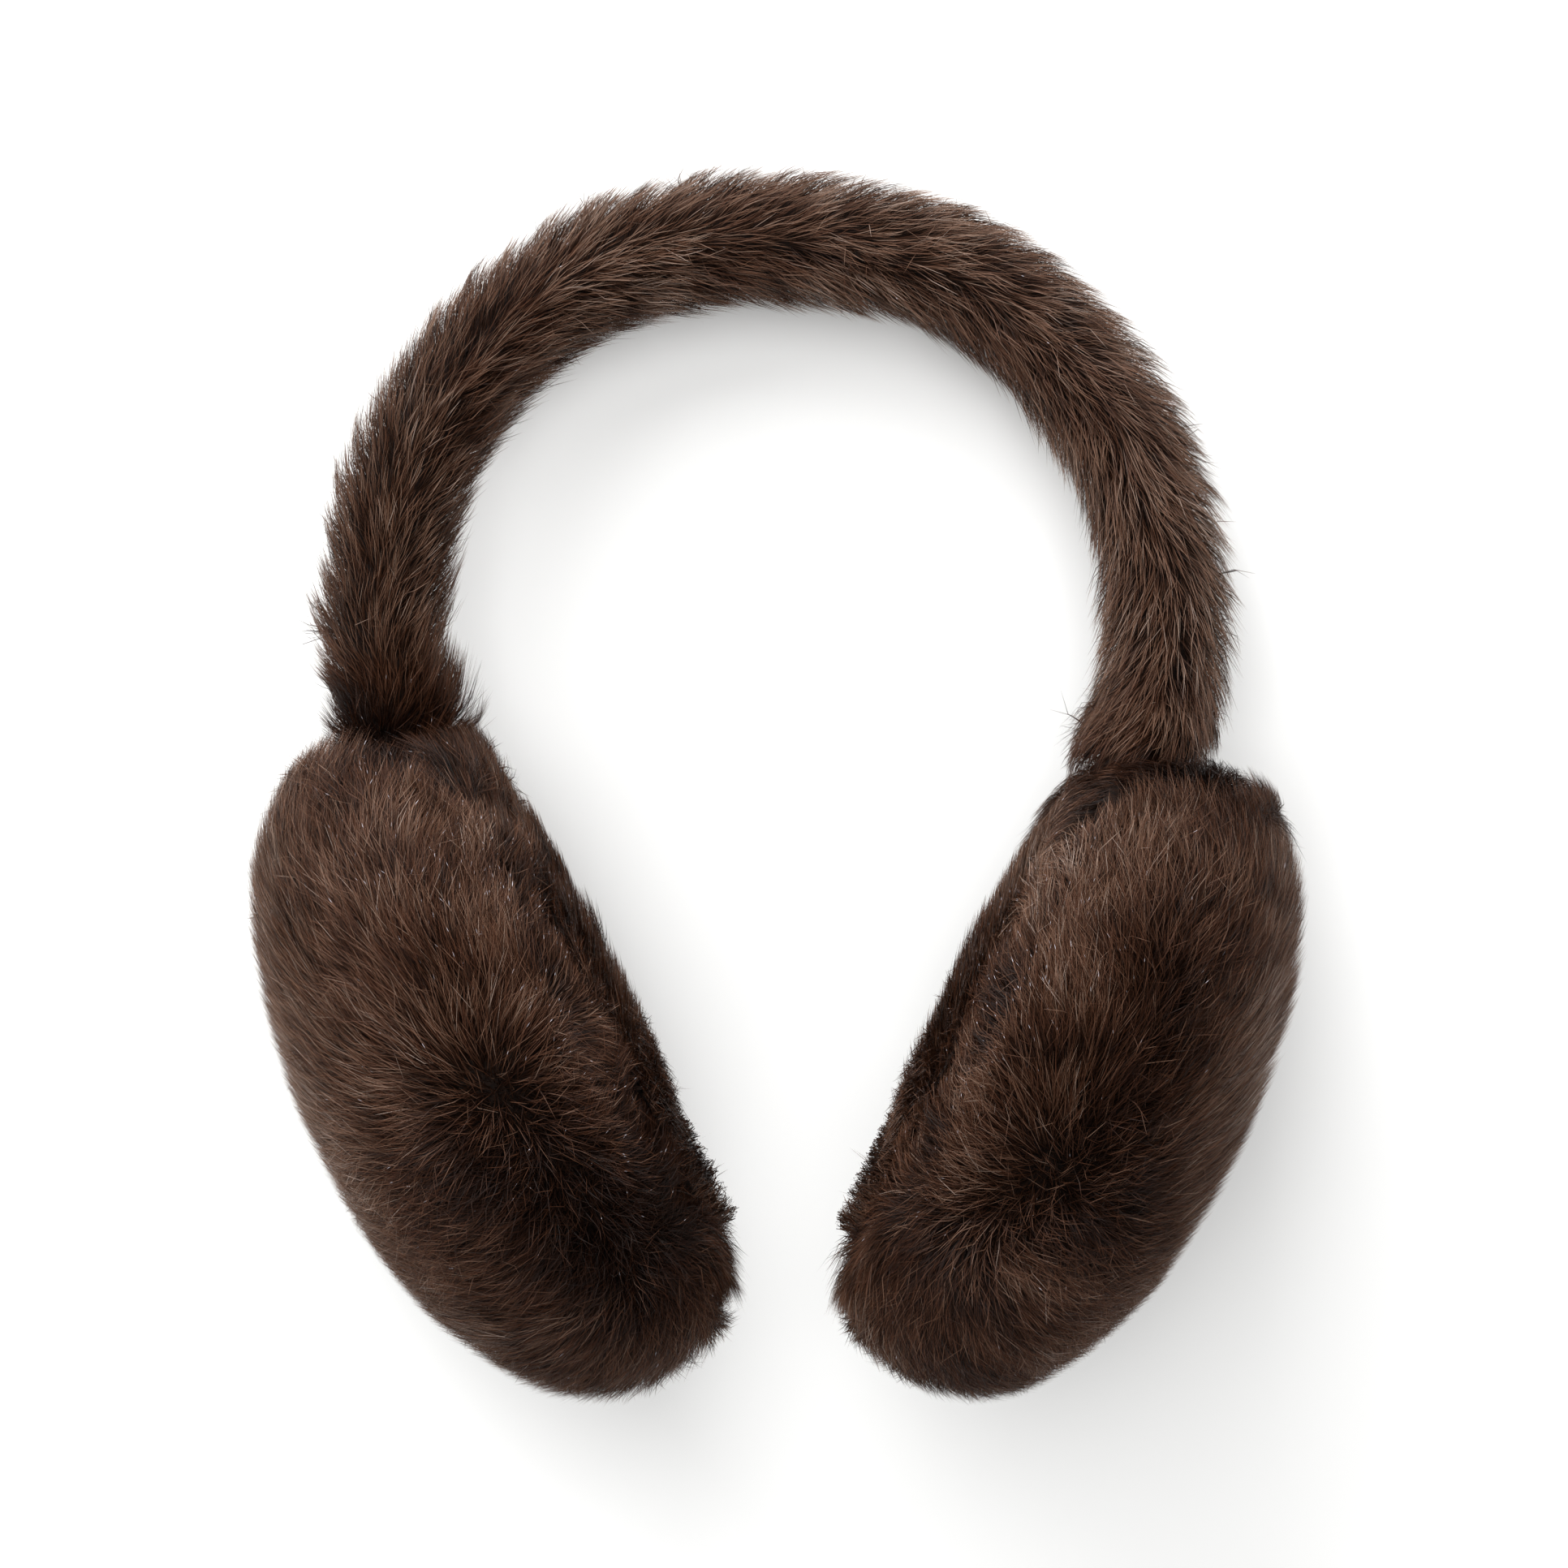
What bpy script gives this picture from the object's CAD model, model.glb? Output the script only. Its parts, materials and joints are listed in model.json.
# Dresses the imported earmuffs: combed faux fur on the headband and pads, plush ear cushions, a
# small studio and a camera square to the arch.
import json
import math

import bmesh
import bpy
import numpy as np
from mathutils import Matrix, Vector, bvhtree, kdtree


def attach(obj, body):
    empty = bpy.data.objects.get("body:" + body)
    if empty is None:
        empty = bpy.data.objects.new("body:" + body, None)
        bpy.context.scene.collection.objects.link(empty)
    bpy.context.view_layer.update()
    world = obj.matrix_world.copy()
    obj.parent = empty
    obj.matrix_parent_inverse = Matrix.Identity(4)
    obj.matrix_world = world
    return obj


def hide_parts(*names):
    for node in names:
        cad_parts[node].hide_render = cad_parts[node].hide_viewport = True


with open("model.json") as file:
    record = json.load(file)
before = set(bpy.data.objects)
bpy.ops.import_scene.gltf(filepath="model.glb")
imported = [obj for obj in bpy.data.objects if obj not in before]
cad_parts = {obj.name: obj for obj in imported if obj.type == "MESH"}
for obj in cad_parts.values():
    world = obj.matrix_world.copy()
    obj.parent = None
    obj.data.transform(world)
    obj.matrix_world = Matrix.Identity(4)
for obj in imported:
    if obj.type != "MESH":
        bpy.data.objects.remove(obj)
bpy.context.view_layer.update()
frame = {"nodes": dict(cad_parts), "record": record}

mm = 0.001

# The arch's own directions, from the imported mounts: right, up to the crown, front
mounts = {m["name"]: m for m in frame["record"]["mounts"]}
archRight = np.array([1.0, 0.0, 0.0])
archUp = -np.array(mounts["crown_seat"]["axis"])
archUp /= np.linalg.norm(archUp)
archFront = np.cross(archRight, archUp)

bandForm = {
    "arcRadius": 67.4 * mm,     # the band's middle line
    "crownRadius": 53.3 * mm,   # from the arc's middle to the crown's underside
    "furEnds": -40.0 * mm,      # the band's fur stops here, below the arc's middle, in the pads
}
arcMiddle = np.array(mounts["crown_seat"]["pos_m"]) - archUp * bandForm["crownRadius"]
rimDepth = 25.0 * mm        # from where the ear lies back to a pad's rim plane
weldReach = 0.01 * mm       # corners of a solid nearer than this are joined


# Middle of a pad's rim plane, the way down from the band, and the way in to the ear.
def padFrame(side):
    seat = mounts[side + "_ear_seat"]
    inward = np.array(seat["axis"]) / np.linalg.norm(seat["axis"])
    middle = np.array(seat["pos_m"]) - inward * rimDepth
    down = np.cross(inward, archFront)
    down *= -np.sign(down @ archUp)
    return middle, down, inward


# Colours and material nodes

# An sRGB hex colour as linear values.
def linear(hexColour):
    parts = [int(hexColour[i:i + 2], 16) / 255 for i in (1, 3, 5)]
    return [c / 12.92 if c <= 0.04045 else ((c + 0.055) / 1.055) ** 2.4 for c in parts] + [1.0]


# Adds a node and sets its own settings, a colour ramp's stops too, then its inputs: a value, or
# an output to link from
def addNode(tree, kind, settings=None, inputs=None):
    node = tree.nodes.new(kind)
    for name, value in (settings or {}).items():
        if name == "stops":
            for place, colour in value[1:-1]:
                node.color_ramp.elements.new(place)
            for element, (place, colour) in zip(node.color_ramp.elements, value):
                element.position, element.color = place, linear(colour)
        else:
            setattr(node, name, value)
    for name, value in (inputs or {}).items():
        if isinstance(value, bpy.types.NodeSocket):
            tree.links.new(value, node.inputs[name])
        else:
            node.inputs[name].default_value = value
    return node


def newMaterial(name, shaderInputs):
    material = bpy.data.materials.new(name)
    material.use_nodes = True
    tree = material.node_tree
    tree.nodes.clear()
    shader = addNode(tree, "ShaderNodeBsdfPrincipled", inputs=shaderInputs)
    addNode(tree, "ShaderNodeOutputMaterial", inputs={"Surface": shader.outputs[0]})
    return material, tree, shader


pileLook = {
    "roots": ((0.0, "#0a0301"), (0.5, "#1e0e06"), (1.0, "#3e2516")),
    "tips": ((0.0, "#200e06"), (0.2, "#432616"), (0.35, "#5b3a29"), (0.45, "#6c4e3d"),
             (0.57, "#80614f"), (0.72, "#957e6f"), (0.89, "#bba89d"), (0.91, "#6c4e3d"), (1.0, "#6c4e3d")),
    "reach": ((0.0, "#000000"), (0.35, "#484848"), (0.8, "#d8d8d8"), (1.0, "#ffffff")),
    "glint": ((0.0, "#000000"), (0.70, "#000000"), (0.73, "#ffffff"), (0.76, "#ffffff"), (0.79, "#000000")),
    "glintColour": "#c9c5ce",
    "glintTones": (0.91, 0.98), # fibres glint from the first of these tones on, in full from the second
    "roughness": 0.5,
}


# Acrylic faux-fur pile, drawn fibre: dark at the root, paler and slightly glossy at the tip. Each
# fibre holds its own tone, so the coat looks mixed and not painted.
def pileMaterial(name):
    material, tree, shader = newMaterial(name, {
        "Roughness": pileLook["roughness"],
        "IOR": 1.49,
        "Specular IOR Level": 0.12,
    })
    tone = addNode(tree, "ShaderNodeAttribute", {"attribute_name": "tone"}).outputs["Fac"]
    along = addNode(tree, "ShaderNodeAttribute", {"attribute_name": "along"}).outputs["Fac"]
    root = addNode(tree, "ShaderNodeValToRGB", {"stops": pileLook["roots"]}, {"Fac": tone})
    tip = addNode(tree, "ShaderNodeValToRGB", {"stops": pileLook["tips"]}, {"Fac": tone})
    reach = addNode(tree, "ShaderNodeValToRGB", {"stops": pileLook["reach"]}, {"Fac": along})
    spark = addNode(tree, "ShaderNodeValToRGB", {"stops": pileLook["glint"]}, {"Fac": along})
    mixed = addNode(tree, "ShaderNodeMix", {"data_type": "RGBA"}, {
        0: reach.outputs[0], 6: root.outputs[0], 7: tip.outputs[0]})
    chosen = addNode(tree, "ShaderNodeMapRange", inputs={
        "Value": tone, "From Min": pileLook["glintTones"][0], "From Max": pileLook["glintTones"][1]})
    glint = addNode(tree, "ShaderNodeMath", {"operation": "MULTIPLY"}, {
        0: chosen.outputs[0], 1: spark.outputs[0]})
    glinting = addNode(tree, "ShaderNodeMix", {"data_type": "RGBA"}, {
        0: glint.outputs[0], 6: mixed.outputs[2], 7: linear(pileLook["glintColour"])})
    tree.links.new(glinting.outputs[2], shader.inputs["Base Color"])
    return material


backingLook = {
    "yarn": "#1c110b",
    "gap": "#0d0705",
    "stitch": 0.9 * mm,         # pitch of the knitted backing
    "roughness": 0.9,
}


# Dark knitted backing that the pile is locked into: rows of small stitches, quite matt.
def backingMaterial(name):
    material, tree, shader = newMaterial(name, {
        "Roughness": backingLook["roughness"],
        "IOR": 1.5,
        "Specular IOR Level": 0.1,
    })
    place = addNode(tree, "ShaderNodeTexCoord").outputs["Object"]
    cells = addNode(tree, "ShaderNodeTexVoronoi", inputs={
        "Vector": place, "Scale": 1 / backingLook["stitch"]}).outputs["Distance"]
    colour = addNode(tree, "ShaderNodeValToRGB", {
        "stops": ((0.0, backingLook["yarn"]), (0.8, backingLook["gap"]))}, {"Fac": cells}).outputs[0]
    bump = addNode(tree, "ShaderNodeBump", inputs={
        "Height": cells, "Distance": 0.3 * mm, "Strength": 0.6})
    tree.links.new(colour, shader.inputs["Base Color"])
    tree.links.new(bump.outputs[0], shader.inputs["Normal"])
    return material


# Skins: the backing that the pile stands on, worked from the CAD nodes

def nodeForm(node):
    form = bmesh.new()
    form.from_mesh(frame["nodes"][node].data)
    bmesh.ops.remove_doubles(form, verts=form.verts, dist=weldReach)
    return form


def objectFrom(form, name):
    mesh = bpy.data.meshes.new(name)
    form.to_mesh(mesh)
    form.free()
    obj = bpy.data.objects.new(name, mesh)
    bpy.context.scene.collection.objects.link(obj)
    return obj


def bakeModifiers(obj):
    graph = bpy.context.evaluated_depsgraph_get()
    mesh = bpy.data.meshes.new_from_object(obj.evaluated_get(graph))
    obj.modifiers.clear()
    old = obj.data
    obj.data = mesh
    bpy.data.meshes.remove(old)


def smoothed(obj, voxel, rounds):
    remesh = obj.modifiers.new("remesh", "REMESH")
    remesh.mode = "VOXEL"
    remesh.voxel_size = voxel
    smooth = obj.modifiers.new("smooth", "SMOOTH")
    smooth.factor = 0.5
    smooth.iterations = rounds
    bakeModifiers(obj)


# Points, their normals, and triangles of a mesh.
def meshArrays(mesh):
    points = np.empty(len(mesh.vertices) * 3)
    normals = np.empty(len(mesh.vertices) * 3)
    mesh.vertices.foreach_get("co", points)
    mesh.vertex_normals.foreach_get("vector", normals)
    mesh.calc_loop_triangles()
    faces = np.empty(len(mesh.loop_triangles) * 3, np.int64)
    mesh.loop_triangles.foreach_get("vertices", faces)
    return points.reshape(-1, 3), normals.reshape(-1, 3), faces.reshape(-1, 3)


def smoothStep(low, high, value):
    t = np.clip((value - low) / (high - low), 0, 1)
    return t * t * (3 - 2 * t)


# The outer form that the tips of the fur are trimmed to.
def ceilingOf(obj):
    points, _, faces = meshArrays(obj.data)
    return bvhtree.BVHTree.FromPolygons(points.tolist(), faces.tolist())


# Brings back each place that is further out of the outer form than its room.
def trim(places, ceiling, room):
    for i, place in enumerate(places.tolist()):
        spot, normal, *_ = ceiling.find_nearest(place)
        if (Vector(place) - spot).dot(normal) > room[i]:
            places[i] = spot + normal * room[i]


# Moves the skin in along its normals by a depth, a number or one for each point.
def insetSkin(obj, depth):
    points, normals, _ = meshArrays(obj.data)
    points = points - normals * np.reshape(depth, (-1, 1) if np.ndim(depth) else ())
    obj.data.vertices.foreach_set("co", points.ravel())
    obj.data.update()


def unit(vectors):
    return vectors / np.maximum(np.linalg.norm(vectors, axis=-1, keepdims=True), 1e-9)


# Makes the skin the backing of its coat, in place of the solid.
def dressSkin(skin, node):
    skin.data.materials.clear()
    skin.data.materials.append(knittedBacking)
    skin.data.shade_smooth()
    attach(skin, "root")
    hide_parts(node)
    print(skin.name, len(skin.data.polygons), "faces")


# Fur

# What every fibre does, on any piece
fibreHabit = {
    "looseStray": 0.8,              # how far a loose hair strays from the nap
    "roll": 0.6,                    # how far the fur turns along the outline that the camera sees,
    "rollSharp": 4,                 # and how soon it does
    "guardLength": (0.80, 1.10),    # shares of the piece's own length
    "undercoatLength": (0.50, 0.75),
    "uneven": 0.10,                 # how much the length comes and goes over the coat,
    "unevenOver": 9 * mm,           # and over how far
    "middleRoom": 1.2 * mm,         # the middles stay this much further in than the tips
    "twist": 0.5,                   # how far the flat fibres are turned, in radians
    "turnAside": 0.1,               # how unevenly they face out of the skin
    "toneNoise": 0.075,             # how much single fibres differ in tone
    "toneWaves": 0.04,              # and whole stretches of the coat
    "toneOver": 14 * mm,
    "guardTone": 0.07,              # what long, short and loose fibres add to it
    "undercoatTone": -0.13,
    "looseTone": 0.08,
    "toneUpOver": 100 * mm,         # the height over which a piece's toneUp is reached
    "toneRange": (0.02, 0.88),
    "glintRange": (0.93, 0.995),    # the tones that the material draws as glints
    "glintGain": 20,                # how many times more fibres glint in a spot of strength 1
    "fewestLocks": 8,
    "pullRange": (0.5, 1.0),        # fibres follow their lock by this much of its pull,
    "middlePull": 0.45,             # and their middles by this share of that
    "widths": (0.75, 1.2),          # shares of the piece's own width
    "middleWidth": 0.85,
    "floorRoom": 0.4 * mm,          # fibres lower than this lie on the floor, at these heights
    "floorHeights": (0.05 * mm, 0.5 * mm),
    "mapHalfWidth": 0.004,          # of one fibre, in the map
    "quickFewer": 4,
    "quickWider": 2,                # and this many times wider
}

# The slow random changes: how many waves, their lengths as shares of the size that is asked for,
# and what their sum is divided by to vary by about 1
slowWaves = {"count": 6, "lengths": (0.7, 1.5), "level": 1.8}


# Smooth random values about 0, from a few sine waves of about this size.
def waves(points, size, dice):
    total = np.zeros(len(points))
    for _ in range(slowWaves["count"]):
        run = unit(dice.normal(size=3)) * 2 * math.pi / (size * dice.uniform(*slowWaves["lengths"]))
        total += np.sin(points @ run + dice.uniform(0, 2 * math.pi))
    return total / slowWaves["level"]


# Random roots on the skin, even by area: places and normals. keep(places, normals) is the chance that
# a root stays.
def scatter(skin, count, keep, dice):
    points, normals, faces = meshArrays(skin.data)
    corners = points[faces]
    areas = np.linalg.norm(np.cross(corners[:, 1] - corners[:, 0], corners[:, 2] - corners[:, 0]), axis=1)
    chance = areas * keep(corners.mean(axis=1), unit(normals[faces].sum(axis=1)))
    chosen = dice.choice(len(faces), count, p=chance / chance.sum())
    a, b = dice.random((2, count))
    over = a + b > 1
    a[over], b[over] = 1 - a[over], 1 - b[over]
    weights = np.stack([1 - a - b, a, b], axis=1)[:, :, None]
    return (points[faces[chosen]] * weights).sum(axis=1), unit((normals[faces[chosen]] * weights).sum(axis=1))


def nearestOf(places, seeds):
    tree = kdtree.KDTree(len(seeds))
    for i, seed in enumerate(seeds):
        tree.insert(seed, i)
    tree.balance()
    return np.array([tree.find(place)[1] for place in places])


# Pulls fibres together into locks of about this pitch, most at their tips. Returns one random
# value for each fibre, the same all through its lock.
def gather(roots, middles, tips, pitch, pull, density, dice):
    count = max(fibreHabit["fewestLocks"], int(len(roots) / (density * pitch * pitch)))
    lead = nearestOf(roots, roots[:count])
    share = pull * dice.uniform(*fibreHabit["pullRange"], len(roots))[:, None]
    tips += (tips[lead] - tips) * share
    middles += (middles[lead] - middles) * share * fibreHabit["middlePull"]
    return dice.normal(size=count)[lead]


def archXY(places):
    return (places - arcMiddle) @ archRight, (places - arcMiddle) @ archUp


# Where the coat glints most, along each pad's upper inner side: place and reach in mm, strength
glintSpots = (
    (-62, -34, 8, 0.6), (-48, -45, 9, 1.0), (-39, -58, 8, 0.8), (-32, -73, 8, 0.7), (-24, -90, 7, 0.5),
    (50, -38, 6, 0.5), (42, -57, 8, 0.9), (35, -70, 8, 0.8), (24, -88, 7, 0.6),
)

# Where the nap lies so that it looks paler or darker: what shows there, place and reach in mm, and
# change of tone
napPatches = (
    ("left pad, dark roots above the fringe", -70, -22, 5, -0.24),
    ("left pad, the same nearer the head", -58, -26, 6, -0.28),
    ("left pad, upper face", -62, -42, 12, -0.10),
    ("left pad, pale crest at the neck", -50, -36, 8, 0.14),
    ("left pad, pale lock beside the cushion", -24, -67, 5, 0.12),
    ("left pad, pale outer flank", -72, -92, 12, 0.15),
    ("left pad, hollow under the parting", -38, -93, 11, -0.20),
    ("left pad, dark roots beside the cushion", -25, -103, 6, -0.18),
    ("left pad, dark foot", -26, -136, 8, -0.30),
    ("left cushion, shaded lower half", -14, -95, 8, -0.20),
    ("left cushion, pale foot", -14, -119, 7, 0.12),
    ("right pad, dark roots under the fringe", 70, -30, 8, -0.14),
    ("right pad, dark shoulder", 82, -34, 8, -0.24),
    ("right pad, pale crest at the neck", 50, -43, 9, 0.16),
    ("right pad, pale outer flank", 79, -82, 9, 0.20),
    ("right pad, pale lock beside the cushion", 40, -93, 6, 0.12),
    ("right pad, dark lower face", 30, -108, 10, -0.22),
    ("right pad, pale lower lock", 42, -110, 7, 0.12),
    ("right pad, dark foot", 28, -134, 9, -0.35),
    ("right cushion, pale foot", 14, -119, 7, 0.24),
    ("band, dark cleft left of the crown", -11, 61, 6, -0.14),
    ("band, dark cleft right of the crown", 30, 49, 8, -0.24),
    ("band, left shoulder", -54, 42, 11, -0.10),
    ("band, dark outer edge at the left", -79, 8, 10, -0.16),
    ("band, dark neck at the left", -77, -15, 6, -0.26),
    ("band, dark inner edge at the right", 52, 14, 7, -0.26),
    ("band, pale outer edge at the right", 74, 14, 9, 0.12),
    ("band, dark neck at the right", 52, -15, 6, -0.24),
)


# 1 on the front of the coat, 0 on its back.
def onFront(normals):
    return smoothStep(-0.4, 0.1, normals @ archFront)


# The sum of soft round spots at each place, on the front of the coat only.
def spotsAt(places, normals, spots):
    x, y = archXY(places)
    total = np.zeros(len(x))
    for *_, spotX, spotY, reach, amount in spots:
        away = (x - spotX * mm) ** 2 + (y - spotY * mm) ** 2
        total += amount * np.exp(-away / (2 * (reach * mm) ** 2))
    return total * onFront(normals)


# Fibres on a skin: roots, middles, tips, their widths' directions and their tones.
def growPile(skin, ceiling, look, comb, keep, seed):
    habit = fibreHabit
    dice = np.random.default_rng(seed)
    count = look["fibres"] // 1
    roots, normals = scatter(skin, count, keep, dice)
    run, shorter, darker, proud = comb(roots, normals)
    loose = dice.random(count) < look["loose"]      # a few pale hairs cross the nap
    run = run + dice.normal(size=(count, 3)) * np.where(loose, habit["looseStray"], look["stray"])[:, None]
    # near the outline that the camera sees, the fur turns to run along it
    around = unit(np.cross(archFront, normals))
    side = (run * around).sum(axis=1, keepdims=True)
    run -= normals * (run * normals).sum(axis=1, keepdims=True)
    turning = (1 - np.abs(normals @ archFront)[:, None]) ** 2
    run += around * np.tanh(habit["rollSharp"] * side) * habit["roll"] * turning
    lean = np.minimum(np.linalg.norm(run, axis=1, keepdims=True), 1.0)
    run = unit(run) * lean
    guard = dice.random(count) > look["undercoat"]      # long pale hairs over a dense dark undercoat
    length = look["length"] * shorter * (1 + habit["uneven"] * waves(roots, habit["unevenOver"], dice))
    guardShare = dice.uniform(*habit["guardLength"], count)
    length *= np.where(guard, guardShare, dice.uniform(*habit["undercoatLength"], count))
    length = length[:, None]
    rise, lay = look["rise"], look["lay"]
    middles = roots + unit(normals * rise + run) * length * 0.5
    tips = middles + unit(normals * lay + run) * length * 0.5
    density = count / sum(p.area for p in skin.data.polygons)
    # locks, then wisps within them, all kept within reach of the form
    lockTone = gather(roots, middles, tips, look["lock"], look["lockPull"], density, dice)
    wispTone = gather(roots, middles, tips, look["wisp"], look["wispPull"], density, dice)
    room = dice.uniform(look["trimLow"], look["trimHigh"], count) + proud
    trim(middles, ceiling, room - habit["middleRoom"])
    trim(tips, ceiling, room)
    # the flat blades face out, unevenly
    flow = unit(tips - roots)
    tips += np.cross(normals, flow) * dice.normal(scale=look["wayward"], size=(count, 1)) * length
    twist = dice.normal(scale=habit["twist"], size=(count, 1))
    across = unit(np.cross(flow, normals + dice.normal(scale=habit["turnAside"], size=(count, 3))))
    across = unit(across * np.cos(twist) + np.cross(flow, across) * np.sin(twist))
    tone = look["tone"] + habit["toneNoise"] * dice.normal(size=count)
    tone += habit["toneWaves"] * waves(roots, habit["toneOver"], dice)
    tone += look["lockTone"] * lockTone + look["wispTone"] * wispTone
    tone += np.where(guard, habit["guardTone"], habit["undercoatTone"]) + habit["looseTone"] * loose
    tone += look["toneUp"] * ((roots - arcMiddle) @ archUp) / habit["toneUpOver"]
    tone = np.clip(tone - darker + spotsAt(roots, normals, napPatches), *habit["toneRange"])
    glints = look["glintShare"] * (1 + habit["glintGain"] * spotsAt(roots, normals, glintSpots))
    glinting = dice.random(count) < glints
    tone[glinting] = dice.uniform(*habit["glintRange"], glinting.sum())
    return roots, middles, tips, across, tone


# Fur under the object is pressed flat on the floor.
def keepOffFloor(places, dice):
    low = places[:, 2] < fibreHabit["floorRoom"]
    places[low, 2] = dice.uniform(*fibreHabit["floorHeights"], low.sum())


# One mesh of ribbons, three triangles a fibre. Its map holds tone across and root to tip up.
def pileMesh(name, pile, width):
    roots, middles, tips, across, tone = pile
    count = len(roots)
    dice = np.random.default_rng(count)
    keepOffFloor(middles, dice)
    keepOffFloor(tips, dice)
    widths = width * dice.uniform(*fibreHabit["widths"], (count, 1))
    widths *= 1
    half = across * (widths / 2)
    inner = half * fibreHabit["middleWidth"]
    corners = np.stack([roots - half, roots + half, middles - inner, middles + inner, tips], axis=1)
    points = corners.shape[1]
    mesh = bpy.data.meshes.new(name)
    mesh.vertices.add(count * points)
    mesh.vertices.foreach_set("co", corners.ravel().astype(np.float32))
    order = np.array([0, 1, 3, 2, 2, 3, 4])     # four corners to the middle, three on to the tip
    loops = (np.arange(count)[:, None] * points + order).ravel()
    mesh.loops.add(len(loops))
    mesh.loops.foreach_set("vertex_index", loops.astype(np.int32))
    mesh.polygons.add(count * 2)
    starts = (np.arange(count)[:, None] * len(order) + [0, 4]).ravel()
    mesh.polygons.foreach_set("loop_start", starts.astype(np.int32))
    mesh.update(calc_edges=True)
    alongFibre = np.array([0.0, 0.0, 0.5, 0.5, 1.0])
    tones = mesh.attributes.new("tone", "FLOAT", "POINT")
    tones.data.foreach_set("value", np.repeat(tone, points).astype(np.float32))
    alongs = mesh.attributes.new("along", "FLOAT", "POINT")
    alongs.data.foreach_set("value", np.tile(alongFibre, count).astype(np.float32))
    spread = np.array([-1, 1, -1, 1, 0]) * fibreHabit["mapHalfWidth"]
    places = np.stack([tone[:, None] + spread[order], np.tile(alongFibre[order], (count, 1))], axis=-1)
    layer = mesh.uv_layers.new(name="OFBake")
    layer.data.foreach_set("uv", places.ravel().astype(np.float32))
    mesh.shade_smooth()
    mesh.materials.append(acrylicPile)
    obj = bpy.data.objects.new(name, mesh)
    bpy.context.scene.collection.objects.link(obj)
    return obj


# Grows a coat on a skin and splits it evenly over pieces of these names.
def coat(skin, ceiling, names, look, comb, keep, seed):
    pile = growPile(skin, ceiling, look, comb, keep, seed)
    for i, name in enumerate(names):
        share = [part[i::len(names)] for part in pile]
        piece = pileMesh(name, share, look["width"])
        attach(piece, "root")
    print("fur", names, len(pile[0]), "fibres")


# Headband

bandLook = {
    "fibres": 58000,
    "length": 10.5 * mm,
    "width": 0.145 * mm,
    "undercoat": 0.5,           # the share of short dark fibres
    "rise": 0.85,               # how steeply a fibre leaves the skin, and how it lies at its tip
    "lay": 0.36,
    "stray": 0.24,
    "loose": 0.03,              # the share of loose hairs
    "wayward": 0.07,            # how far the tips wander sideways, as a share of the length
    "splay": 27.0,              # how far the fur turns out on each side of its parting, in degrees
    "lock": 3.6 * mm,           # fibres gather into locks, and these into wisps, of this pitch
    "lockPull": 0.10,
    "wisp": 0.8 * mm,
    "wispPull": 0.40,
    "lockTone": 0.04,           # how much locks, and wisps, differ in tone
    "wispTone": 0.07,
    "trimLow": 2.1 * mm,        # the tips end this far out of the solid's smoothed form
    "trimHigh": 2.7 * mm,
    "tone": 0.475,
    "toneUp": 0.08,
    "glintShare": 0.002,        # of all fibres, away from the spots that glint
    "skinDepth": 3.2 * mm,
    "voxel": 2.0 * mm,          # of the remesh that rounds the solid's locks away
    "smoothRounds": 6,
    "partingWander": 1.5 * mm,  # how far the parting strays, and over how far
    "partingOver": 16 * mm,
    "partingSeed": 3,
    "partingWide": 5 * mm,      # the splay is nearly full this far from it
    "pace": 0.95,               # how flat the fur lies along the band
    "neckFrom": -10 * mm,       # the neck's stretch, above the arc's middle
    "neckTo": -24 * mm,
    "neckTurn": 0.5,            # the fur there turns along the neck,
    "neckShade": 0.16,          # is darker in the pads' shade,
    "neckLong": 0.3,            # longer on the head's side,
    "neckInner": 3.8 * mm,      # and reaches further out, there more than elsewhere
    "neckOuter": 0.2 * mm,
    "thickerFrom": -6 * mm,     # and there is more of it
    "thickerTo": -16 * mm,
    "sides": (2 * mm, 8 * mm),  # from the middle line, where a side begins and is full
}

# The parting along the band, by the angle round the arc from the right: how far out it lies, in mm
partingAngles = (-25, -5, 5, 20, 45, 60, 90, 120, 150, 180, 205)
partingOffsets = (3.0, 2.5, 1.3, -2.0, -2.5, -3.5, -2.0, 0.0, 0.0, 2.0, 2.0)

# How much fuller the fur is than its usual reach, in mm, on the outer and the inner side, by the
# same angles
swellAngles = (-25, 0, 25, 40, 58, 70, 90, 130, 160, 185, 205)
swellOuter = (0.0, 1.2, 0.9, 0.9, -0.6, -0.8, 0.6, 0.5, 0.6, 1.6, 1.2)
swellInner = (0.0, 0.3, 1.6, 0.6, -0.8, -0.4, 0.0, 0.4, -0.2, 0.8, 0.6)


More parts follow.
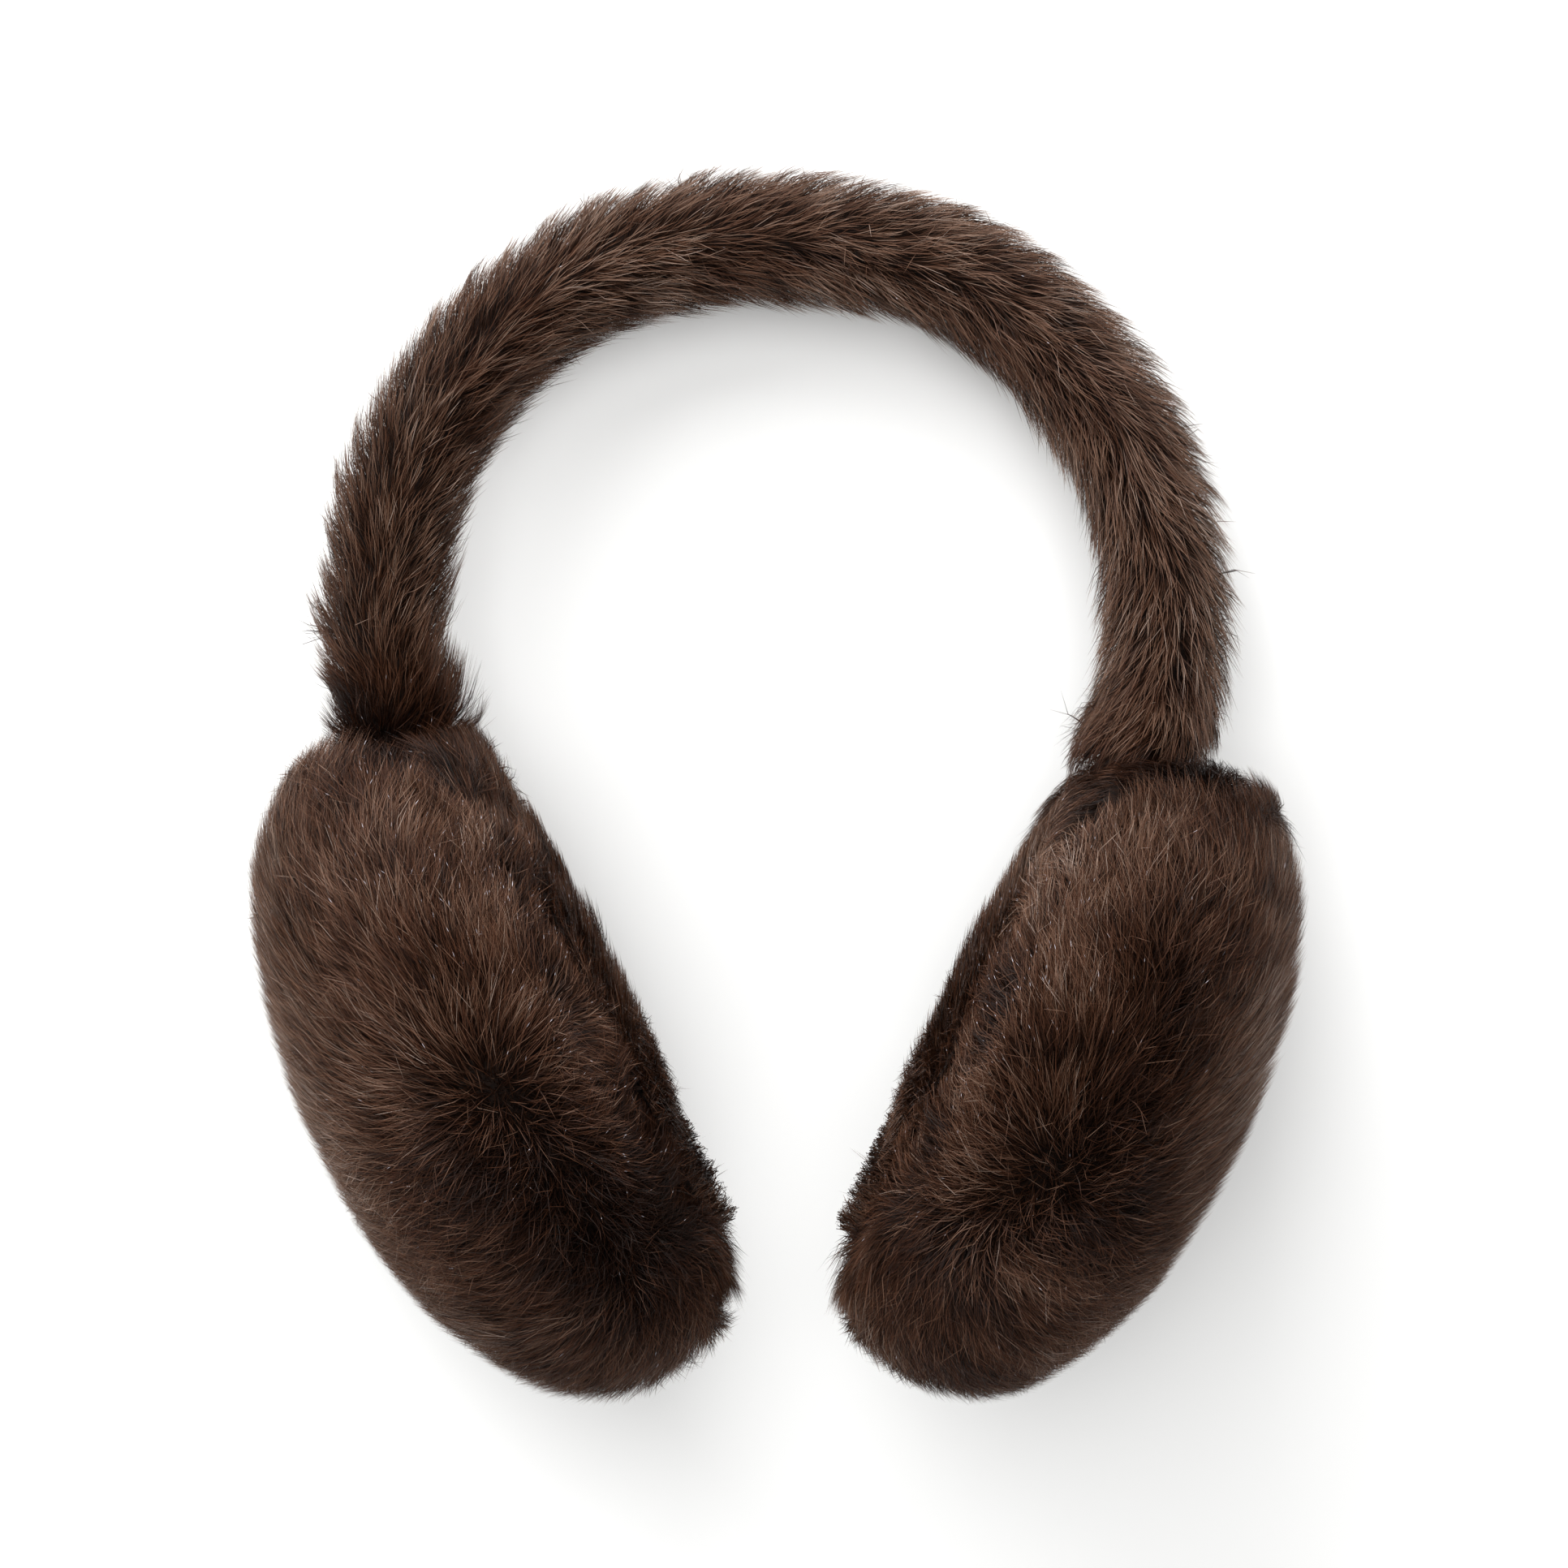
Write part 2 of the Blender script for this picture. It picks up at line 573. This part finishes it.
# Clockwise along the arc, splayed to both sides of the parting.
def bandComb(places, normals):
    look = bandLook
    start, full = look["sides"]
    x, y = archXY(places)
    radius = np.hypot(x, y)
    outward = (x / radius)[:, None] * archRight + (y / radius)[:, None] * archUp
    along = (y / radius)[:, None] * archRight - (x / radius)[:, None] * archUp
    angle = np.degrees(np.arctan2(y, x))
    angle = np.where(angle < -90, angle + 360, angle)
    off = radius - bandForm["arcRadius"] - np.interp(angle, partingAngles, partingOffsets) * mm
    dice = np.random.default_rng(look["partingSeed"])
    off += waves(places, look["partingOver"], dice) * look["partingWander"]
    turn = np.radians(look["splay"]) * np.tanh(off / look["partingWide"])[:, None]
    run = along * np.cos(turn) + outward * np.sin(turn)
    low = smoothStep(look["neckFrom"], look["neckTo"], y)
    inner = smoothStep(start, -full, radius - bandForm["arcRadius"])
    run = run + low[:, None] * look["neckTurn"] * outward * (2 * inner - 1)[:, None]
    outer = smoothStep(start, full, radius - bandForm["arcRadius"])
    swell = outer * np.interp(angle, swellAngles, swellOuter)
    swell += inner * np.interp(angle, swellAngles, swellInner)
    proud = swell * mm + (look["neckInner"] * inner + look["neckOuter"]) * low
    return run * look["pace"], 1 + look["neckLong"] * low * inner, look["neckShade"] * low, proud


# None inside the pads, and twice as much at the necks.
def bandKeep(places, normals):
    y = (places - arcMiddle) @ archUp
    return (y > bandForm["furEnds"]) * (1 + smoothStep(bandLook["thickerFrom"], bandLook["thickerTo"], y))


def makeHeadband(seed):
    skin = objectFrom(nodeForm("headband"), "headband_skin")
    smoothed(skin, bandLook["voxel"], bandLook["smoothRounds"])
    ceiling = ceilingOf(skin)
    insetSkin(skin, bandLook["skinDepth"])
    dressSkin(skin, "headband")
    coat(skin, ceiling, ["headband_fur"], bandLook, bandComb, bandKeep, seed)


# Ear pads

padLook = {
    "fibres": 104000,
    "length": 13.5 * mm,
    "width": 0.145 * mm,
    "undercoat": 0.5,
    "rise": 0.80,
    "lay": 0.34,
    "stray": 0.24,
    "loose": 0.04,
    "wayward": 0.09,
    "whorlReach": 8.0 * mm,     # nearer to the whorl than this the fur stands up
    "sway": 0.20,               # how far the lie wanders, in radians
    "lock": 4.2 * mm,
    "lockPull": 0.16,
    "wisp": 0.6 * mm,
    "wispPull": 0.60,
    "lockTone": 0.06,
    "wispTone": 0.15,
    "trimLow": -1.1 * mm,       # against the pad's convex form, smoothed
    "trimHigh": 0.1 * mm,
    "tone": 0.33,
    "toneUp": 0.02,
    "edgePale": 0.14,           # the coat is paler where it turns to the outside
    "glintShare": 0.002,
    "skinDepth": 7.2 * mm,
    "underside": 0.45,          # the share of the fur that stands where the pad faces the floor
    "voxel": 2.6 * mm,
    "smoothRounds": 8,
    "swayOver": 18 * mm,
    "swaySeed": 7,
    "waveOver": 12 * mm,
    "waveSeed": 5,
}

# How the coat changes over a pad: spans in mm, or of how squarely the skin faces some way, how far
# the tips stand out of the form in mm, and the rest as shares or changes of tone
padShape = {
    "earSide": (0.5, 0.85),     # the side that faces the ear,
    "underCushion": (45, 41),   # and its part under the cushion, by how far out from the middle,
    "bare": 0.8,                # where no fur grows
    "outerSide": (0.1, -0.3),   # the side that faces away from the head,
    "turnsBack": (0.6, 0.1),    # and where the coat turns from the camera: paler where both meet
    "headSide": (0.1, 0.5),
    "backSide": (0.3, -0.2),
    "floorSide": (-0.1, -0.5),
    "neck": (60, 52),           # from the arch's middle line out, the collar's part by the neck
    "neckHigh": 0.6,            # where it is this much less low
    "collarFront": (0.2, 0.7),
    "collarEdge": (0, 2),       # above the fringe, where the coat turns into the collar
    "collarFade": (7, 15),      # and where that sinks away in front
    "collarShade": (16, 5),     # and where the fringe's shade starts and is full
    "shadeDark": 0.32,
    "shadeLess": 0.24,          # less so on the head's side
    "neckTop": (3, 10),         # the top of the collar on the head's side
    "fringeWide": 5,
    "fringeProud": 2.0,
    "collarProud": 0.4,
    "collarSunk": 3.9,
    "fadeSunk": 2.5,
    "neckProud": 1.8,
    "collarShort": 0.3,
    "seamDown": 4,              # the shade by the cushion lies this far below the seam's line
    "seamWide": 5.0,
    "seamUneven": 1.5,
    "seamDark": 0.17,
    "foldWide": 2,
    "foldDark": 0.4,            # as a share of the seam's
    "partingWide": 8,
    "partingDark": 0.24,
    "partingStands": 0.55,      # how much less the fur lies down there
    "partingShort": 0.15,
    "backShown": 0.35,          # the share of all this shading that stays on the back
    "lap": 0.6,                 # how far the fur laps in over the cushion's seam,
    "lapEnds": (30, 42),        # as far down from the pad's middle as this
    "faceProud": 1.6,
    "faceUneven": 1.2,
    "faceShort": 0.1,
    "foot": (43, 55),           # the lower end, rounder on the head's side
    "footSunk": 1.4,
    "footHeadSunk": 1.6,
    "footBackProud": 1.4,
    "skinEdge": (0, 3),         # the skin lies deeper under a low collar,
    "skinLow": 5.5,
    "skinFade": 2.5,            # deeper yet where that sinks away,
    "skinHigh": 2.5,            # and less deep under a high one
    "skinFaceLess": 0.45,
    "skinUnderLess": 0.9,       # nearly at the form under the cushion
}

# The fur on each pad spreads from a whorl, a short line on its front, and swirls: the line's points,
# right of and above the arc's middle in mm, and the swirl in degrees, anticlockwise
padWhorls = {
    "left": {"line": ((-45, -80), (-25, -105)), "swirl": -15},
    "right": {"line": ((45, -95), (34, -102)), "swirl": 20},
}

# The fringe where a pad's fur is rooted that laps over the band, in the same mm. Beyond it the
# coat lies lower and runs with the band.
padFringes = {
    "left": ((-81, -25), (-76, -29), (-66, -34), (-57, -36), (-49, -39), (-43, -44)),
    "right": ((81, -36), (76, -37), (67, -37), (58, -38), (51, -41), (46, -47)),
}

# How low the collar lies on the pad's outer shoulder, from 0, high, to 1
padShoulders = {"left": 0.55, "right": 0.1}

# The seam by the cushion, and a dark fold: at the left pad's outer edge, and over the right pad's top
padSeams = {
    "left": ((-41, -44), (-35, -56), (-29, -67), (-22, -80), (-13, -92)),
    "right": ((38, -58), (32, -68), (25, -80)),
}
padFolds = {
    "left": ((-79, -60), (-78, -66)),
    "right": ((73, -26), (80, -32), (86, -42)),
}

# Lines along which the fur stands up from its parting, so that one looks down into its dark roots
padPartings = {
    "left": ((-52, -90), (-43, -92), (-35, -96), (-28, -104), (-22, -110)),
    "right": ((67, -61), (61, -72), (57, -82), (53, -94), (47, -104)),
}


# The way from the nearest point of a line of points to each place, as the camera sees them.
def fromLine(places, line):
    flat = np.stack(archXY(places), axis=1)
    line = np.array(line) * mm
    best = np.full_like(flat, np.inf)
    for a, b in zip(line[:-1], line[1:]):
        share = np.clip(((flat - a) @ (b - a)) / ((b - a) @ (b - a)), 0, 1)[:, None]
        away = flat - a - share * (b - a)
        nearer = np.linalg.norm(away, axis=1) < np.linalg.norm(best, axis=1)
        best[nearer] = away[nearer]
    return best


# 1 on the line, 0 away from it.
def nearLine(places, line, reach):
    return np.exp(-(np.linalg.norm(fromLine(places, line), axis=1) / reach) ** 2)


# The lie of a pad's fur before anything bends it.
def whorlRun(side, places):
    whorl = padWhorls[side]
    away = fromLine(places, whorl["line"])
    sway = padLook["sway"] * waves(places, padLook["swayOver"], np.random.default_rng(padLook["swaySeed"]))
    angle = (np.arctan2(away[:, 1], away[:, 0]) + (math.radians(whorl["swirl"]) + sway))[:, None]
    lean = np.tanh(np.linalg.norm(away, axis=1, keepdims=True) / padLook["whorlReach"])
    return (np.cos(angle) * archRight + np.sin(angle) * archUp) * lean


# smoothStep over a span in mm.
def stepOver(span, value):
    return smoothStep(span[0] * mm, span[1] * mm, value)


# How far a place is above the fringe, on the band's part of the pad; below it this is negative.
def beyondFringe(side, places):
    x, y = archXY(places)
    line = np.array(sorted(padFringes[side])) * mm
    return y - np.interp(x, line[:, 0], line[:, 1])


# How low the collar lies at each place, from 0 to 1: low in front, and high on the head's side,
# where it fills the neck. Then how near to the neck the place is, the same way.
def collarLow(side, places, normals):
    x, _ = archXY(places)
    neck = stepOver(padShape["neck"], np.abs(x))
    front = smoothStep(*padShape["collarFront"], normals @ archFront)
    low = np.maximum(front * (1 - padShape["neckHigh"] * neck), padShoulders[side] * (1 - neck))
    return low, neck


# How far a place is on the pad's ear side, and how far under the cushion.
def earFace(side, places, normals):
    middle, _, inward = padFrame(side)
    rel = places - middle
    out = np.linalg.norm(rel - (rel @ inward)[:, None] * inward, axis=1)
    face = smoothStep(*padShape["earSide"], normals @ inward)
    return face, face * stepOver(padShape["underCushion"], out)


def padComb(side):
    shape = padShape
    middle, down, inward = padFrame(side)

    def comb(places, normals):
        beyond = beyondFringe(side, places)
        collar = stepOver(shape["collarEdge"], beyond)
        run = whorlRun(side, places) * (1 - collar[:, None])
        run += bandComb(places, normals)[0] * collar[:, None]
        fringe = nearLine(places, padFringes[side], shape["fringeWide"] * mm) * (1 - collar)
        wander = waves(places, padLook["waveOver"], np.random.default_rng(padLook["waveSeed"]))
        seamWide = (shape["seamWide"] + shape["seamUneven"] * wander) * mm
        seam = nearLine(places + archUp * shape["seamDown"] * mm, padSeams[side], seamWide)
        seam += shape["foldDark"] * nearLine(places, padFolds[side], shape["foldWide"] * mm)
        parting = nearLine(places, padPartings[side], shape["partingWide"] * mm)
        run *= 1 - shape["partingStands"] * parting[:, None]

        face, _ = earFace(side, places, normals)
        rel = places - middle
        out = unit(rel - (rel @ inward)[:, None] * inward)
        foot = stepOver(shape["foot"], rel @ down)
        lap = shape["lap"] * face * (1 - stepOver(shape["lapEnds"], rel @ down))
        run -= out * lap[:, None]       # in over the seam on the ear's side

        low, neck = collarLow(side, places, normals)
        fade = stepOver(shape["collarFade"], beyond) * low
        shown = shape["backShown"] + (1 - shape["backShown"]) * onFront(normals)
        shade = collar * (shape["shadeDark"] - shape["shadeLess"] * neck)
        shade *= stepOver(shape["collarShade"], beyond)
        edge = smoothStep(*shape["turnsBack"], normals @ archFront)
        edge *= smoothStep(*shape["outerSide"], normals @ inward)
        darker = (shade + shape["partingDark"] * parting + shape["seamDark"] * seam) * shown
        darker -= padLook["edgePale"] * edge

        toHead = smoothStep(*shape["headSide"], normals @ inward)
        toBack = smoothStep(*shape["backSide"], normals @ archFront)
        sunk = shape["collarSunk"] * low + shape["fadeSunk"] * fade
        proud = shape["fringeProud"] * fringe + (shape["collarProud"] - sunk) * collar
        proud += shape["neckProud"] * neck * collar * stepOver(shape["neckTop"], beyond)
        faceProud = shape["faceProud"] + shape["faceUneven"] * wander
        proud += face * (faceProud * (1 - foot) - shape["footSunk"] * foot)
        proud += foot * (shape["footBackProud"] * (1 - toHead) * toBack - shape["footHeadSunk"] * toHead)
        shorter = 1 - shape["partingShort"] * parting - shape["collarShort"] * collar * low
        shorter *= 1 - shape["faceShort"] * face
        return run, shorter, darker, proud * mm

    return comb


# No fur under the cushion, and less where the pad faces the floor.
def padKeep(side):
    def keep(places, normals):
        _, under = earFace(side, places, normals)
        facesFloor = smoothStep(*padShape["floorSide"], normals[:, 2])
        stands = 1 - (1 - padLook["underside"]) * facesFloor
        return np.where(under > padShape["bare"], 0.0, 1.0) * stands

    return keep


def makePad(side, seed):
    node = "pad_cover_" + side
    form = nodeForm(node)
    hull = bmesh.ops.convex_hull(form, input=form.verts)
    bmesh.ops.delete(form, geom=[v for v in form.verts if not v.link_faces], context="VERTS")
    inner = list(set(form.faces) - {g for g in hull["geom"] if isinstance(g, bmesh.types.BMFace)})
    bmesh.ops.delete(form, geom=inner, context="FACES")
    bmesh.ops.delete(form, geom=[v for v in form.verts if not v.link_faces], context="VERTS")
    skin = objectFrom(form, node + "_skin")
    smoothed(skin, padLook["voxel"], padLook["smoothRounds"])
    ceiling = ceilingOf(skin)
    points, normals, _ = meshArrays(skin.data)
    beyond = beyondFringe(side, points)
    face, under = earFace(side, points, normals)
    low, _ = collarLow(side, points, normals)
    sunk = (padShape["skinLow"] + padShape["skinFade"] * stepOver(padShape["collarFade"], beyond)) * low
    sunk = (sunk - padShape["skinHigh"]) * stepOver(padShape["skinEdge"], beyond)
    depth = padLook["skinDepth"] * (1 - padShape["skinFaceLess"] * face) + sunk * mm
    insetSkin(skin, depth * (1 - padShape["skinUnderLess"] * under))
    dressSkin(skin, node)
    names = [node + "_fur_a", node + "_fur_b"]
    coat(skin, ceiling, names, padLook, padComb(side), padKeep(side), seed)


# Ear cushions

cushionLook = {
    "fibres": 18000,
    "length": 8.5 * mm,
    "width": 0.18 * mm,
    "undercoat": 0.5,
    "rise": 0.9,
    "lay": 0.5,
    "stray": 0.30,
    "loose": 0.05,
    "wayward": 0.10,
    "lock": 3.0 * mm,
    "lockPull": 0.16,
    "wisp": 0.9 * mm,
    "wispPull": 0.50,
    "lockTone": 0.04,
    "wispTone": 0.09,
    "trimLow": -0.8 * mm,
    "trimHigh": 0.7 * mm,
    "tone": 0.39,
    "toneUp": 0.0,
    "glintShare": 0.002,
    "skinDepth": 2.6 * mm,
    "footDepth": 3.4 * mm,      # how much flatter the cushion is at its lower end,
    "foot": (12, 40),           # in mm down from the pad's middle
    "voxel": 1.6 * mm,
    "smoothRounds": 4,
    "spread": 0.8,              # the plush lies out from the middle,
    "spreadOver": 20 * mm,
    "upward": 0.35,             # and a little up
    "waveOver": 12 * mm,
    "waveSeed": 5,
    "seamWide": 4.5,            # in mm
    "seamUneven": 1.5,
    "seamDark": 0.18,
    "lower": (16, 40),          # toward the lower end it is shorter and sinks,
    "lowerShort": 0.2,
    "lowerSunk": 2.1 * mm,
    "unevenLong": 0.15,
    "unevenProud": 0.6 * mm,
    "domeSide": (0.0, 0.6),     # how squarely a place faces the ear: where the foot is flattened,
    "skinSide": (-0.6, 0.4),    # and where the skin lies under the form
    "bareSide": -0.3,           # no plush grows below this, where the cover presses on it
}


def cushionComb(side):
    look = cushionLook
    middle, down, inward = padFrame(side)

    def comb(places, normals):
        rel = places - middle
        out = rel - (rel @ inward)[:, None] * inward
        distance = np.linalg.norm(out, axis=1, keepdims=True)
        run = unit(out) * np.tanh(distance / look["spreadOver"]) * look["spread"] - down * look["upward"]
        wander = waves(places, look["waveOver"], np.random.default_rng(look["waveSeed"]))
        seam = nearLine(places, padSeams[side], (look["seamWide"] + look["seamUneven"] * wander) * mm)
        low = stepOver(look["lower"], rel @ down)
        shorter = 1 + look["unevenLong"] * wander - look["lowerShort"] * low
        proud = look["unevenProud"] * wander * (1 - low) - look["lowerSunk"] * low
        return run, shorter, look["seamDark"] * seam, proud

    return comb


def makeCushion(side, seed):
    middle, down, inward = padFrame(side)
    node = "ear_cushion_" + side
    look = cushionLook
    skin = objectFrom(nodeForm(node), node + "_skin")
    smoothed(skin, look["voxel"], look["smoothRounds"])
    points, normals, _ = meshArrays(skin.data)
    foot = stepOver(look["foot"], (points - middle) @ down)
    insetSkin(skin, look["footDepth"] * foot * smoothStep(*look["domeSide"], normals @ inward))
    ceiling = ceilingOf(skin)
    _, normals, _ = meshArrays(skin.data)
    insetSkin(skin, look["skinDepth"] * smoothStep(*look["skinSide"], normals @ inward))
    dressSkin(skin, node)

    def keep(places, normals):
        return np.where(normals @ inward > look["bareSide"], 1.0, 0.0)

    coat(skin, ceiling, [node + "_plush"], look, cushionComb(side), keep, seed)


# Studio

studio = {
    "floor": "#fcfcfb",
    "skyStrength": 0.55,
    "floorSide": 6.0,           # in m, as the places below, which are right, up and front of the arch
    "aim": (0, -0.03, 0),
    "keyPlace": (-0.35, 0.75, 0.8),
    "keyPower": 21.0,           # watts, a large soft panel up beyond the crown, a little left
    "keySize": 0.9,
    "frontPlace": (0.0, 0.1, 1.3),
    "frontPower": 9.0,          # round the camera, so that the floor in the arch isn't grey
    "frontSize": 0.6,
    "rimPlace": (-0.9, -0.1, 0.35),
    "rimPower": 2.0,
    "rimSize": 0.5,
}

photo = {
    "side": 1932,               # the photograph's own pixels
    "scale": 0.14 * mm,         # of a pixel at the arch's plane
    "arcMiddle": (955, 760),    # where the arc's middle falls
    "lens": 150.0,
    "sensor": 36.0,
}


def archPoint(x, y, z):
    return Vector(arcMiddle + archRight * x + archUp * y + archFront * z)


# One of the studio's panels, aimed at the object.
def addPanel(name, part):
    light = bpy.data.lights.new(name, "AREA")
    light.energy = studio[part + "Power"]
    light.size = studio[part + "Size"]
    lamp = bpy.data.objects.new(name, light)
    lamp.location = archPoint(*studio[part + "Place"])
    towards = archPoint(*studio["aim"]) - lamp.location
    lamp.rotation_euler = towards.to_track_quat("-Z", "Y").to_euler()
    bpy.context.scene.collection.objects.link(lamp)


def makeStudio():
    bpy.ops.mesh.primitive_plane_add(size=studio["floorSide"], location=(0, 0, 0))
    floor = bpy.context.object
    floor.name = "floor"
    paper, _, shader = newMaterial("matt_studio_paper", {"Roughness": 0.9, "Specular IOR Level": 0.1})
    shader.inputs["Base Color"].default_value = linear(studio["floor"])
    floor.data.materials.append(paper)
    world = bpy.data.worlds.new("soft_sky")
    bpy.context.scene.world = world
    world.use_nodes = True
    background = world.node_tree.nodes["Background"]
    background.inputs["Color"].default_value = (1.0, 1.0, 1.0, 1.0)
    background.inputs["Strength"].default_value = studio["skyStrength"]
    addPanel("key_panel", "key")
    addPanel("front_panel", "front")
    addPanel("rim_left", "rim")
    print("studio: floor, sky and three panels")


def makeCamera():
    half = photo["side"] / 2
    x = (half - photo["arcMiddle"][0]) * photo["scale"]
    y = (photo["arcMiddle"][1] - half) * photo["scale"]
    wide = photo["side"] * photo["scale"]
    away = wide * photo["lens"] / photo["sensor"]
    data = bpy.data.cameras.new("camera")
    data.lens = photo["lens"]
    data.sensor_width = photo["sensor"]
    data.clip_start = 0.01
    camera = bpy.data.objects.new("camera", data)
    turn = Matrix((archRight, archUp, archFront)).transposed()
    camera.matrix_world = Matrix.Translation(archPoint(x, y, away)) @ turn.to_4x4()
    bpy.context.scene.collection.objects.link(camera)
    bpy.context.scene.camera = camera
    print("camera", round(away, 3), "m away")


acrylicPile = pileMaterial("acrylic_pile_drawn")
knittedBacking = backingMaterial("knitted_backing_dark")
makeHeadband(seed=11)
makePad("left", seed=21)
makePad("right", seed=31)
makeCushion("left", seed=41)
makeCushion("right", seed=51)
makeStudio()
makeCamera()
bpy.context.scene.view_settings.view_transform = "Standard"
